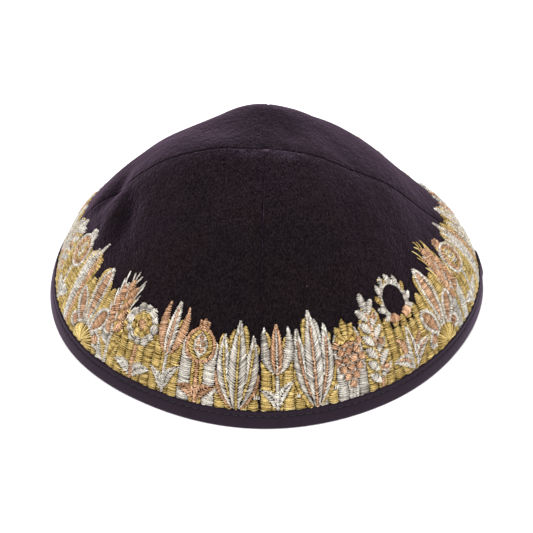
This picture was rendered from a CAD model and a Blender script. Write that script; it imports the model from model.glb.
import math

import bpy
import numpy as np
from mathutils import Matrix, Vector


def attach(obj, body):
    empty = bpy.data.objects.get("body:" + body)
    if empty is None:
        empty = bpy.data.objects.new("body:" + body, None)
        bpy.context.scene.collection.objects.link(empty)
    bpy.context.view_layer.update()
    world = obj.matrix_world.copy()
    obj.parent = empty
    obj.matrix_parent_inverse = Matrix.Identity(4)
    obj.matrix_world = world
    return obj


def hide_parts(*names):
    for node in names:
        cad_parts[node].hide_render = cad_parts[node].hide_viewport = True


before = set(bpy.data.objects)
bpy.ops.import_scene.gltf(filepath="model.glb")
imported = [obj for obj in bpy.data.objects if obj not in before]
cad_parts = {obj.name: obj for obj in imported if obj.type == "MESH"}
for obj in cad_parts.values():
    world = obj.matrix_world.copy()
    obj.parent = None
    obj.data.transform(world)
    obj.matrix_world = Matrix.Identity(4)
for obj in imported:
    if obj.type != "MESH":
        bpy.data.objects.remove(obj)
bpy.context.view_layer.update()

MM = 0.001
DEG = math.pi / 180
RNG = np.random.default_rng(20)

# ---------------------------------------------------------------------------
# The cap's form, in millimetres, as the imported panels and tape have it.
# ---------------------------------------------------------------------------
HEIGHT, WALL = 65.0, 2.0
TAPE_STAND, TAPE_WALL, TAPE_HEIGHT = 1.35, 0.9, 7.0
PANEL_FOOT = 2.4
CENTRE = np.array([-0.55, 0.32])
QUARTER = 138.0  # width of a panel along the rim

# right, back right, back, back left, left, front left, front, front right
SECTIONS = np.array([
    [65.0, 65.0, 65.0, 65.0, 65.0, 65.0, 65.0, 65.0],
    [65.0, 64.5, 66.1, 66.0, 67.2, 65.0, 65.1, 64.8],
    [65.0, 65.5, 71.3, 67.9, 70.2, 67.0, 67.2, 66.6],
    [68.7, 68.2, 72.1, 69.6, 72.2, 70.6, 71.8, 70.4],
    [72.8, 71.7, 77.1, 73.2, 76.5, 76.0, 77.4, 75.8],
    [82.5, 76.8, 81.9, 79.5, 80.9, 82.3, 83.4, 82.4],
    [86.8, 86.8, 86.8, 86.8, 86.8, 86.8, 86.8, 86.8],
])
RIM = np.array([88.9, 87.5, 88.3, 87.8, 88.2, 87.7, 87.8, 88.7, 87.5, 88.5, 87.7, 87.4])
# turn and down at three places, half-width, depth
FOLDS = {
    "long crease": ((163, 177.5, 185), (54.4, 53.0, 63.0), 4.8, 2.3),
    "ridge between": ((190, 193.5, 198), (52.0, 55.0, 60.5), 3.4, -0.9),
    "deep valley": ((186, 200, 208), (48.5, 51.6, 62.5), 6.2, 2.2),
    "valley side": ((202, 212, 216), (47.0, 53.7, 62.4), 7.0, 0.8),
    "back swell": ((97, 104, 116), (22.0, 33.0, 40.0), 8.0, -1.0),
}
# where the pile lies closed: turn and down along a line, half-width, strength
CLOSED = (
    ((161, 170, 178, 182, 184), (54.8, 53.8, 53.4, 57.4, 63.0), 2.8, 0.9),
    ((184, 191, 199.5, 204.5, 208.5), (46.6, 48.6, 52.3, 57.0, 63.6), 3.8, 0.9),
    ((185.5, 188, 190.5, 194.5), (48.4, 49.8, 51.0, 53.0), 1.7, 0.9),
)


def hermite(a, b, s, t, u):
    u2, u3 = u * u, u * u * u
    return a * (2 * u3 - 3 * u2 + 1) + s * (u3 - 2 * u2 + u) + b * (3 * u2 - 2 * u3) + t * (u3 - u2)


def rim_radius(turn):
    at = (np.asarray(turn, float) / 30) % 12
    i = np.floor(at).astype(int)
    v = lambda k: RIM[k % 12]
    a, b = v(i), v(i + 1)
    return hermite(a, b, (b - v(i - 1)) / 2, (v(i + 2) - a) / 2, at - i)


def direction(turn, down):
    t, d = np.asarray(turn, float) * DEG, np.asarray(down, float) * DEG
    return np.stack([np.sin(d) * np.cos(t), np.sin(d) * np.sin(t), np.cos(d) + 0 * t], -1)


def fold_lines():
    s = np.arange(13) / 12
    a, b, c = (1 - s) * (1 - 2 * s), 4 * s * (1 - s), s * (2 * s - 1)
    return [
        (direction(a * t[0] + b * t[1] + c * t[2], a * d[0] + b * d[1] + c * d[2]), half, depth)
        for t, d, half, depth in FOLDS.values()
    ]


FOLD_LINES = fold_lines()


def fold_depth(turn, down, distance):
    p = direction(turn, down)
    total = np.zeros(p.shape[:-1])
    for line, half, depth in FOLD_LINES:
        best, where = np.full(p.shape[:-1], 1e9), np.zeros(p.shape[:-1])
        for k in range(12):
            a, ab = line[k], line[k + 1] - line[k]
            s = np.clip(((p - a) @ ab) / (ab @ ab), 0, 1)
            d = np.linalg.norm(a + s[..., None] * ab - p, axis=-1) * distance
            nearer = d < best
            best, where = np.where(nearer, d, best), np.where(nearer, (k + s) / 12, where)
        total += depth * np.sin(np.pi * (0.08 + 0.84 * where)) * np.exp(-((best / half) ** 2))
    return total


def hollow(turn, down):
    """How closed the pile lies in the folds, from 0 to 1."""
    p = direction(turn, down)
    total = np.zeros(p.shape[:-1])
    for turns, downs, half, strength in CLOSED:
        turns, downs = np.array(turns, float), np.array(downs, float)
        at = np.linspace(0, len(turns) - 1, 17)
        i = np.minimum(at.astype(int), len(turns) - 2)
        t, d = np.gradient(turns), np.gradient(downs)
        line = direction(hermite(turns[i], turns[i + 1], t[i], t[i + 1], at - i), hermite(downs[i], downs[i + 1], d[i], d[i + 1], at - i))
        best, where = np.full(p.shape[:-1], 1e9), np.zeros(p.shape[:-1])
        for k in range(16):
            a, ab = line[k], line[k + 1] - line[k]
            s = np.clip(((p - a) @ ab) / (ab @ ab), 0, 1)
            d = np.linalg.norm(a + s[..., None] * ab - p, axis=-1) * 70
            nearer = d < best
            best, where = np.where(nearer, d, best), np.where(nearer, (k + s) / 16, where)
        total = np.maximum(total, strength * np.sqrt(np.sin(np.pi * (0.04 + 0.92 * where))) * np.exp(-((best / half) ** 2)))
    return total


def reach(turn, down):
    turn, down = np.broadcast_arrays(np.asarray(turn, float), np.asarray(down, float))
    at = down / 15
    i = np.clip(np.floor(at).astype(int), 0, 5)
    slope = np.zeros_like(SECTIONS)
    slope[1:-1] = (SECTIONS[2:] - SECTIONS[:-2]) / 2
    slope[-1] = SECTIONS[-1] - SECTIONS[-2]
    v = hermite(SECTIONS[i], SECTIONS[i + 1], slope[i], slope[i + 1], (at - i)[..., None])
    t = turn % 360
    q = np.floor(t / 90 + 1e-9).astype(int) % 4
    u = np.clip(t / 90 - q, 0, 1)
    pick = lambda k: np.take_along_axis(v, (k % 8)[..., None], -1)[..., 0]
    a, m, b = pick(2 * q), pick(2 * q + 1), pick(2 * q + 2)
    c, s = (1 + np.cos(np.pi * u)) / 2, np.sin(np.pi * u)
    r = c * a + (1 - c) * b + (m - (a + b) / 2) * (2 * u * (1 - u) + 0.5 * s * s)
    r = r + (down / 90) ** 3 * (rim_radius(t) - TAPE_STAND - SECTIONS[6, 0])
    return r - fold_depth(turn, down, r)


def section(turn, down):
    """Radius, height and the outward normal in an upright plane."""
    down = np.asarray(down, float)

    def at(w):
        r = reach(turn, w)
        return r * np.sin(w * DEG), r * np.cos(w * DEG)

    r, z = at(down)
    r0, z0 = at(np.maximum(down - 0.2, 0))
    r1, z1 = at(down + 0.2)
    n = np.hypot(r1 - r0, z1 - z0)
    return r, z, -(z1 - z0) / n, (r1 - r0) / n


# One table of the upright sections, a row for each turn: how far down each
# height and each distance up from the rim lies.
TABLE_DOWN = np.arange(93.0, 1.9, -0.25)


def upright_table(turns):
    t, d = np.meshgrid(turns, TABLE_DOWN, indexing="ij")
    r, z, _, _ = section(t, d)
    step = np.hypot(np.diff(r, axis=1), np.diff(z, axis=1))
    rise = np.concatenate([np.zeros((len(turns), 1)), np.cumsum(step, axis=1)], axis=1)
    rise -= np.array([np.interp(0.0, z[k], rise[k]) for k in range(len(turns))])[:, None]
    return z, rise


def down_at_height(turns, height):
    z, _ = upright_table(turns)
    height = np.broadcast_to(height, (len(turns),))
    return np.array([np.interp(height[k], z[k][:300], TABLE_DOWN[:300]) for k in range(len(turns))])


def smooth(x, a, b):
    t = np.clip((x - a) / (b - a), 0, 1)
    return t * t * (3 - 2 * t)


def unevenness(turn, down):
    """Soft waves of a quarter of a millimetre in the cloth."""
    p = direction(turn, down) * 75
    w = (
        np.sin(p @ np.array([0.11, 0.07, 0.05]) + 1.3)
        + np.sin(p @ np.array([-0.06, 0.13, 0.09]) + 0.4)
        + np.sin(p @ np.array([0.16, -0.10, 0.12]) + 2.2)
        + 0.6 * np.sin(p @ np.array([0.25, 0.21, -0.17]) + 5.0)
    )
    return 0.16 * w * smooth(down, 4, 20) * smooth(86 - down, 0, 12)


def seam_roll(turn, r, z):
    """How far the outer face rolls in towards the nearest seam."""
    off = np.minimum(np.abs(r * np.sin(turn * DEG)), np.abs(r * np.cos(turn * DEG)))
    band = smooth(z, 33.0, 28.0)  # the stitched part is thicker and rolls in further
    half = 1.15 + 0.35 * band
    deep = (0.42 + 0.68 * band) * (0.15 + 0.85 * smooth(r, 1, 10))
    k = 1 - np.minimum(off / half, 1)
    roll = (1 - band) * k * k + band * (1 - np.sqrt(np.maximum(1 - k * k, 0)))
    return deep * roll + 0.25 * np.exp(-((off / 3.6) ** 2))


def outer_face(turn, down, lift=0.0):
    r, z, nr, nz = section(turn, down)
    out = lift - seam_roll(turn, r, z) + unevenness(turn, down)
    r, z = r + out * nr, z + out * nz
    return np.stack([CENTRE[0] + r * np.cos(turn * DEG), CENTRE[1] + r * np.sin(turn * DEG), z], -1)


def inner_face(turn, down):
    r, z, nr, nz = section(turn, down)
    off = np.minimum(np.abs(r * np.sin(turn * DEG)), np.abs(r * np.cos(turn * DEG)))
    # seam allowances pressed open against the back of the cloth
    allowance = 0.35 * smooth(off, 6.4, 5.7) * smooth(r, 6, 12) - 0.3 * np.exp(-((off / 0.5) ** 2))
    out = -(WALL + allowance) + unevenness(turn, down)
    r, z = r + out * nr, z + out * nz
    r = np.maximum(r, 0)
    return np.stack([CENTRE[0] + r * np.cos(turn * DEG), CENTRE[1] + r * np.sin(turn * DEG), z], -1)


# ---------------------------------------------------------------------------
# Mesh helpers
# ---------------------------------------------------------------------------
def make_mesh(name, points, faces, material, smooth_shade=True, slots=None):
    """points in millimetres; faces is a list of equal-width index arrays."""
    mesh = bpy.data.meshes.new(name)
    points = np.asarray(points, np.float32) * MM
    mesh.vertices.add(len(points))
    mesh.vertices.foreach_set("co", points.ravel())
    sizes = np.concatenate([np.full(len(f), f.shape[1], np.int32) for f in faces])
    loops = np.concatenate([np.asarray(f, np.int32).ravel() for f in faces])
    mesh.loops.add(len(loops))
    mesh.polygons.add(len(sizes))
    mesh.loops.foreach_set("vertex_index", loops)
    mesh.polygons.foreach_set("loop_start", np.concatenate([[0], np.cumsum(sizes)[:-1]]).astype(np.int32))
    if slots is not None:
        mesh.polygons.foreach_set("material_index", np.asarray(slots, np.int32))
    mesh.update(calc_edges=True)
    mesh.validate()
    mesh.polygons.foreach_set("use_smooth", np.full(len(mesh.polygons), smooth_shade))
    for m in material if isinstance(material, (list, tuple)) else [material]:
        mesh.materials.append(m)
    obj = bpy.data.objects.new(name, mesh)
    bpy.context.scene.collection.objects.link(obj)
    return obj


def uv_layer(obj, name, uv):
    layer = obj.data.uv_layers.new(name=name)
    layer.data.foreach_set("uv", np.asarray(uv, np.float32).ravel())


def loop_vertices(obj):
    v = np.zeros(len(obj.data.loops), np.int32)
    obj.data.loops.foreach_get("vertex_index", v)
    return v


def quads(a, b, c, d):
    return np.stack([a.ravel(), b.ravel(), c.ravel(), d.ravel()], -1)


# ---------------------------------------------------------------------------
# Materials
# ---------------------------------------------------------------------------
class Nodes:
    def __init__(self, name):
        self.material = bpy.data.materials.new(name)
        self.material.use_nodes = True
        self.tree = self.material.node_tree
        self.shader = self.tree.nodes["Principled BSDF"]

    def add(self, kind, **values):
        node = self.tree.nodes.new(kind)
        for key, value in values.items():
            if hasattr(node, key):
                setattr(node, key, value)
            else:
                node.inputs[key.replace("_", " ")].default_value = value
        return node

    def link(self, a, b):
        self.tree.links.new(a, b)

    def noise(self, vector, scale, detail=2.0, rough=0.5):
        node = self.add("ShaderNodeTexNoise")
        node.inputs["Scale"].default_value = scale
        node.inputs["Detail"].default_value = detail
        node.inputs["Roughness"].default_value = rough
        self.link(vector, node.inputs["Vector"])
        return node.outputs["Fac"]

    def scaled(self, vector, scale):
        node = self.add("ShaderNodeMapping")
        node.inputs["Scale"].default_value = scale
        self.link(vector, node.inputs["Vector"])
        return node.outputs["Vector"]

    def ramp(self, fac, stops):
        node = self.add("ShaderNodeValToRGB")
        ramp = node.color_ramp
        while len(ramp.elements) < len(stops):
            ramp.elements.new(0.5)
        for element, (at, colour) in zip(ramp.elements, stops):
            element.position = at
            element.color = (*colour, 1) if len(colour) == 3 else colour
        self.link(fac, node.inputs["Fac"])
        return node.outputs["Color"]

    def math(self, operation, a, b=None, c=None):
        node = self.add("ShaderNodeMath", operation=operation)
        for k, value in enumerate((a, b, c)):
            if value is None:
                continue
            if hasattr(value, "default_value"):
                self.link(value, node.inputs[k])
            else:
                node.inputs[k].default_value = value
        return node.outputs[0]

    def mix(self, fac, a, b, blend="MIX"):
        node = self.add("ShaderNodeMix", data_type="RGBA", blend_type=blend)
        for socket, value in ((node.inputs["Factor"], fac), (node.inputs[6], a), (node.inputs[7], b)):
            if hasattr(value, "default_value"):
                self.link(value, socket)
            elif isinstance(value, (int, float)):
                socket.default_value = value
            else:
                socket.default_value = (*value, 1)
        return node.outputs[2]

    def bump(self, height, distance, strength=1.0, before=None):
        node = self.add("ShaderNodeBump")
        node.inputs["Strength"].default_value = strength
        node.inputs["Distance"].default_value = distance
        self.link(height, node.inputs["Height"])
        if before is not None:
            self.link(before, node.inputs["Normal"])
        return node.outputs["Normal"]

    def set(self, **values):
        for key, value in values.items():
            self.shader.inputs[key.replace("_", " ")].default_value = value


def velvet_material():
    n = Nodes("velvet")
    where = n.add("ShaderNodeTexCoord").outputs["Object"]
    # the pile is brushed from back to front and down: its tufts are longer that way
    nap = n.scaled(where, (1.0, 0.42, 0.62))
    pile = n.noise(nap, 2300, 2.0, 0.6)
    tufts = n.noise(nap, 1100, 2.0, 0.6)
    patches = n.noise(where, 300, 2.0, 0.5)
    drift = n.noise(where, 40, 3.0, 0.55)
    close = n.math("ADD", n.math("MULTIPLY", pile, 0.72), n.math("MULTIPLY", tufts, 0.18))
    tone = n.math("ADD", close, n.math("MULTIPLY", patches, 0.10))
    # the pile stands more open over the crown than on the steeper sides
    crown = n.add("ShaderNodeAttribute", attribute_name="crown").outputs["Fac"]
    sides = n.ramp(tone, [(0.40, (0.0023, 0.0018, 0.0019)), (0.50, (0.0058, 0.0044, 0.0048)), (0.60, (0.0114, 0.0086, 0.0095))])
    above = n.ramp(tone, [(0.40, (0.0012, 0.0009, 0.0011)), (0.50, (0.0056, 0.0042, 0.0047)), (0.60, (0.0148, 0.0112, 0.0126))])
    colour = n.mix(crown, sides, above)
    warm = n.ramp(drift, [(0.35, (0.88, 0.88, 0.96)), (0.65, (1.12, 1.04, 1.0))])
    colour = n.mix(1.0, colour, warm, "MULTIPLY")
    # the pile is brushed up beside the place where the seams meet
    brushed = n.add("ShaderNodeAttribute", attribute_name="brushed").outputs["Fac"]
    brushed = n.math("MULTIPLY", brushed, n.math("MULTIPLY_ADD", patches, 1.4, 0.3))
    colour = n.mix(brushed, colour, n.mix(1.0, colour, (2.8, 2.7, 3.6), "MULTIPLY"))
    # a few small specks of lint caught in the pile
    cells = n.add("ShaderNodeTexVoronoi", feature="F1")
    cells.inputs["Scale"].default_value = 150
    n.link(where, cells.inputs["Vector"])
    near = n.math("LESS_THAN", cells.outputs["Distance"], 0.034)
    few = n.math("GREATER_THAN", n.noise(where, 60, 1.0), 0.50)
    colour = n.mix(n.math("MULTIPLY", n.math("MULTIPLY", near, few), 0.55), colour, (0.13, 0.11, 0.11))
    # the pile lies closed in the folds and takes less light there
    fold = n.add("ShaderNodeAttribute", attribute_name="hollow").outputs["Fac"]
    colour = n.mix(n.math("MULTIPLY", fold, 0.85), colour, (0.0010, 0.0007, 0.0009))
    n.link(colour, n.shader.inputs["Base Color"])
    # soft brushed places of a few millimetres, which show where the light grazes the cloth
    soft = n.noise(n.scaled(where, (1.0, 0.6, 0.75)), 330, 3.0, 0.6)
    lumps = n.math("MULTIPLY_ADD", tufts, 0.4, n.math("MULTIPLY_ADD", soft, 1.4, close))
    n.link(n.bump(lumps, 0.0007, 0.75), n.shader.inputs["Normal"])
    n.set(Roughness=0.95, Sheen_Weight=0.185, Sheen_Roughness=0.40, Sheen_Tint=(0.92, 0.61, 0.93, 1), Specular_IOR_Level=0.0)
    return n.material


def backing_material():
    """Plain woven back of the velvet, seen inside the cap."""
    n = Nodes("woven_backing")
    uv = n.add("ShaderNodeUVMap", uv_map="cloth").outputs["UV"]
    split = n.add("ShaderNodeSeparateXYZ")
    n.link(uv, split.inputs[0])
    a = n.math("SINE", n.math("MULTIPLY", split.outputs[0], 2 * math.pi / 0.55))
    b = n.math("SINE", n.math("MULTIPLY", split.outputs[1], 2 * math.pi / 0.55))
    weave = n.math("MULTIPLY_ADD", n.math("MULTIPLY", a, b), 0.5, 0.5)
    where = n.add("ShaderNodeTexCoord").outputs["Object"]
    drift = n.noise(where, 300, 3.0)
    tone = n.math("MULTIPLY_ADD", weave, 0.5, n.math("MULTIPLY", drift, 0.5))
    n.link(n.ramp(tone, [(0.30, (0.009, 0.0065, 0.012)), (0.70, (0.044, 0.034, 0.056))]), n.shader.inputs["Base Color"])
    n.link(n.bump(weave, 0.00018, 0.8), n.shader.inputs["Normal"])
    n.set(Roughness=0.85, Sheen_Weight=0.12, Sheen_Roughness=0.5, Specular_IOR_Level=0.2)
    return n.material


def tape_material():
    n = Nodes("binding_tape")
    uv = n.add("ShaderNodeUVMap", uv_map="cloth").outputs["UV"]
    split = n.add("ShaderNodeSeparateXYZ")
    n.link(uv, split.inputs[0])
    along, across = split.outputs[0], split.outputs[1]
    # fine ribs across the tape with a crossing yarn
    rib = n.math("SINE", n.math("MULTIPLY", along, 2 * math.pi / 0.48))
    pick = n.math("SINE", n.math("MULTIPLY_ADD", across, 2 * math.pi / 0.50, n.math("MULTIPLY", rib, 1.3)))
    weave = n.math("MULTIPLY_ADD", n.math("MULTIPLY_ADD", rib, 0.6, n.math("MULTIPLY", pick, 0.4)), 0.5, 0.5)
    where = n.add("ShaderNodeTexCoord").outputs["Object"]
    fuzz = n.noise(where, 1500, 3.0, 0.6)
    drift = n.noise(where, 120, 2.0)
    tone = n.math("ADD", n.math("MULTIPLY", weave, 0.4), n.math("ADD", n.math("MULTIPLY", fuzz, 0.35), n.math("MULTIPLY", drift, 0.25)))
    colour = n.ramp(tone, [(0.25, (0.0064, 0.0035, 0.0072)), (0.5, (0.0116, 0.0065, 0.0122)), (0.8, (0.0212, 0.0128, 0.0214))])
    crease = n.add("ShaderNodeAttribute", attribute_name="hollow").outputs["Fac"]
    n.link(n.mix(n.math("MULTIPLY", crease, 0.8), colour, (0.0012, 0.0008, 0.0012)), n.shader.inputs["Base Color"])
    height = n.math("ADD", n.math("MULTIPLY", weave, 0.6), n.math("MULTIPLY", fuzz, 0.7))
    n.link(n.bump(height, 0.00012, 0.7), n.shader.inputs["Normal"])
    n.set(Roughness=0.8, Sheen_Weight=0.20, Sheen_Roughness=0.4, Sheen_Tint=(0.88, 0.58, 0.93, 1), Specular_IOR_Level=0.10)
    return n.material


def thread_material(name, dark, middle, bright, metal, rough):
    n = Nodes(name)
    uv = n.add("ShaderNodeUVMap", uv_map="strand").outputs["UV"]
    split = n.add("ShaderNodeSeparateXYZ")
    n.link(uv, split.inputs[0])
    # foil wound round the core: slanted turns along the strand
    wind = n.math("SINE", n.math("MULTIPLY_ADD", split.outputs[0], 2 * math.pi / 0.5, n.math("MULTIPLY", split.outputs[1], 7.0)))
    where = n.add("ShaderNodeTexCoord").outputs["Object"]
    glint = n.noise(where, 2400, 2.0, 0.65)
    flake = n.math("MULTIPLY_ADD", glint, 2.0, -0.5)
    tone = n.add("ShaderNodeAttribute", attribute_name="tone").outputs["Fac"]
    mixed = n.math("ADD", n.math("MULTIPLY", tone, 0.50), n.math("ADD", n.math("MULTIPLY", flake, 0.46), n.math("MULTIPLY", wind, 0.04)))
    colour = n.ramp(mixed, [(0.20, dark), (0.48, middle), (0.76, bright)])
    n.link(colour, n.shader.inputs["Base Color"])
    rr = n.math("MULTIPLY_ADD", glint, 0.4, rough - 0.2)
    n.link(rr, n.shader.inputs["Roughness"])
    height = n.math("ADD", n.math("MULTIPLY", wind, 0.3), n.math("MULTIPLY", glint, 1.6))
    n.link(n.bump(height, 0.00016, 0.8), n.shader.inputs["Normal"])
    n.set(Metallic=metal, Specular_IOR_Level=0.5)
    return n.material


def sewing_material():
    n = Nodes("sewing_thread")
    where = n.add("ShaderNodeTexCoord").outputs["Object"]
    n.link(n.ramp(n.noise(where, 1800, 2.0), [(0.3, (0.007, 0.005, 0.009)), (0.7, (0.024, 0.017, 0.027))]), n.shader.inputs["Base Color"])
    n.link(n.bump(n.noise(where, 3000, 2.0), 0.00006, 0.6), n.shader.inputs["Normal"])
    n.set(Roughness=0.6, Specular_IOR_Level=0.35)
    return n.material


def floor_material():
    n = Nodes("pale_floor")
    where = n.add("ShaderNodeTexCoord").outputs["Object"]
    n.link(n.ramp(n.noise(where, 6, 2.0), [(0.3, (0.86, 0.86, 0.86)), (0.7, (0.88, 0.88, 0.88))]), n.shader.inputs["Base Color"])
    n.set(Roughness=0.9, Specular_IOR_Level=0.1)
    return n.material


VELVET = velvet_material()
BACKING = backing_material()
TAPE = tape_material()
SEWING = sewing_material()
GOLD = thread_material("gold_thread", (0.17, 0.102, 0.024), (0.57, 0.400, 0.125), (1.0, 0.82, 0.40), 0.85, 0.36)
SILVER = thread_material("silver_thread", (0.21, 0.19, 0.165), (0.64, 0.585, 0.52), (1.0, 0.98, 0.92), 0.85, 0.36)
COPPER = thread_material("copper_thread", (0.18, 0.090, 0.045), (0.56, 0.320, 0.180), (1.0, 0.72, 0.50), 0.85, 0.36)

# ---------------------------------------------------------------------------
# Velvet panels
# ---------------------------------------------------------------------------
EDGE = np.array([0, 0.10, 0.24, 0.42, 0.64, 0.90, 1.2, 1.55, 2.0, 2.6, 3.4])
SEAM_GAP = 0.004


def row_turns(radius, across):
    quarter = radius * math.pi / 2
    edge = EDGE * min(1.0, quarter / 26)
    middle = np.linspace(edge[-1], quarter - edge[-1], across)[1:-1]
    return np.concatenate([edge, middle, quarter - edge[::-1]]) / quarter * 90


def build_panel(name, start, across=96, rows=112):
    share = np.linspace(0, 1, rows + 1) ** 0.96
    foot = down_at_height(np.linspace(start, start + 90, 91), PANEL_FOOT)
    turns, downs = [], []
    for s in share:
        middle_down = 2.2 + (foot.mean() - 2.2) * s
        radius = float(np.mean(reach(np.linspace(start, start + 90, 7), middle_down))) * math.sin(middle_down * DEG)
        t = row_turns(max(radius, 1.0), across)
        turns.append(start + t)
        downs.append(2.2 + (np.interp(t, np.linspace(0, 90, 91), foot) - 2.2) * s)
    turns, downs = np.array(turns), np.array(downs)
    n = turns.shape[1]
    side = np.array([math.cos((start + 45) * DEG), math.sin((start + 45) * DEG)])
    side = np.sign(side) * SEAM_GAP
    outer, inner = outer_face(turns, downs), inner_face(turns, downs)
    tip_out = np.array([CENTRE[0], CENTRE[1], HEIGHT - 0.29])
    tip_in = np.array([CENTRE[0], CENTRE[1], HEIGHT - WALL])
    points = np.concatenate([outer.reshape(-1, 3), inner.reshape(-1, 3), [tip_out], [tip_in]])
    points[:, 0] += side[0]
    points[:, 1] += side[1]
    total = (rows + 1) * n
    grid = np.arange(total).reshape(rows + 1, n)
    a, b, c, d = grid[:-1, :-1], grid[1:, :-1], grid[1:, 1:], grid[:-1, 1:]
    faces = [quads(a, b, c, d)]
    faces.append(quads(a + total, d + total, c + total, b + total))
    last = grid[-1]
    faces.append(quads(last[:-1], last[:-1] + total, last[1:] + total, last[1:]))
    for col, first in ((grid[:, 0], True), (grid[:, -1], False)):
        e = quads(col[:-1], col[:-1] + total, col[1:] + total, col[1:])
        faces.append(e if first else e[:, ::-1])
    to, ti = 2 * total, 2 * total + 1
    faces.append(np.array([[to, grid[0, 0], ti], [ti, grid[0, 0], grid[0, 0] + total]]) [:, ::-1])
    faces.append(np.array([[to, grid[0, -1], ti], [ti, grid[0, -1], grid[0, -1] + total]]))
    tip = np.stack([np.full(n - 1, to), grid[0, :-1], grid[0, 1:]], -1)
    faces.append(tip)
    faces.append(np.stack([np.full(n - 1, ti), grid[0, 1:] + total, grid[0, :-1] + total], -1))
    count = [len(f) for f in faces]
    slots = np.zeros(sum(count), int)
    slots[count[0]:count[0] + count[1]] = 1
    slots[sum(count[:-1]):] = 1
    obj = make_mesh(name, points, faces, [VELVET, BACKING], slots=slots)
    # the cut edges are flat, so that they don't turn the shading of the two faces
    soft = np.ones(len(slots), bool)
    soft[count[0] + count[1]:sum(count[:-2])] = False
    obj.data.polygons.foreach_set("use_smooth", soft)
    # cloth coordinates in millimetres: along the rim and up the panel
    arc = (turns - start) / 90 * QUARTER
    rise = (90 - downs) * 1.35
    flat = np.concatenate([np.stack([arc.ravel(), rise.ravel()], -1)] * 2 + [[[69, 118]], [[69, 118]]])
    uv_layer(obj, "cloth", flat[loop_vertices(obj)])
    # the pile is parted and pressed down along the seams
    wide = reach(turns, downs) * np.sin(downs * DEG)
    off = np.minimum(np.abs(wide * np.sin(turns * DEG)), np.abs(wide * np.cos(turns * DEG)))
    uneven = 0.62 + 0.18 * np.sin(downs * 2.3 + start) + 0.14 * np.sin(downs * 5.1 + 2.0 * start)
    parted = uneven * np.exp(-((off / 0.62) ** 2)) * smooth(downs, 0.4, 4)
    shade = np.concatenate([np.maximum(hollow(turns, downs), parted).ravel(), np.zeros(total + 2)])
    obj.data.attributes.new("hollow", "FLOAT", "POINT").data.foreach_set("value", shade.astype(np.float32))
    crown = 1 - smooth(downs, 6, 45)
    crown = np.concatenate([crown.ravel(), crown.ravel(), [1, 1]])
    obj.data.attributes.new("crown", "FLOAT", "POINT").data.foreach_set("value", crown.astype(np.float32))
    px, py = outer[..., 0] - CENTRE[0], CENTRE[1] - outer[..., 1]
    brushed = np.exp(-(((py - 2.6) / 2.6) ** 2)) * (0.6 * np.exp(-(((px + 8) / 6.0) ** 2)) + np.exp(-(((px - 8) / 6.5) ** 2)))
    brushed = np.concatenate([brushed.ravel(), np.zeros(total + 2)])
    obj.data.attributes.new("brushed", "FLOAT", "POINT").data.foreach_set("value", brushed.astype(np.float32))
    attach(obj, "root")
    return obj


PANELS = {"back_right": 0, "back_left": 90, "front_left": 180, "front_right": 270}
for side_name, start in PANELS.items():
    panel = build_panel(f"velvet_{side_name}", start)
    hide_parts(f"panel_{side_name}")

# ---------------------------------------------------------------------------
# Rim binding: tape folded over the edge, with a row of edge stitches
# ---------------------------------------------------------------------------
STITCH = 3.1          # pitch of the edge stitches
STITCH_RISE = 5.5     # height of the row on the outside
JOIN_TURN, JOIN_LENGTH = 2.0, 9.0  # the tape's ends overlap here, degrees and millimetres


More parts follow.
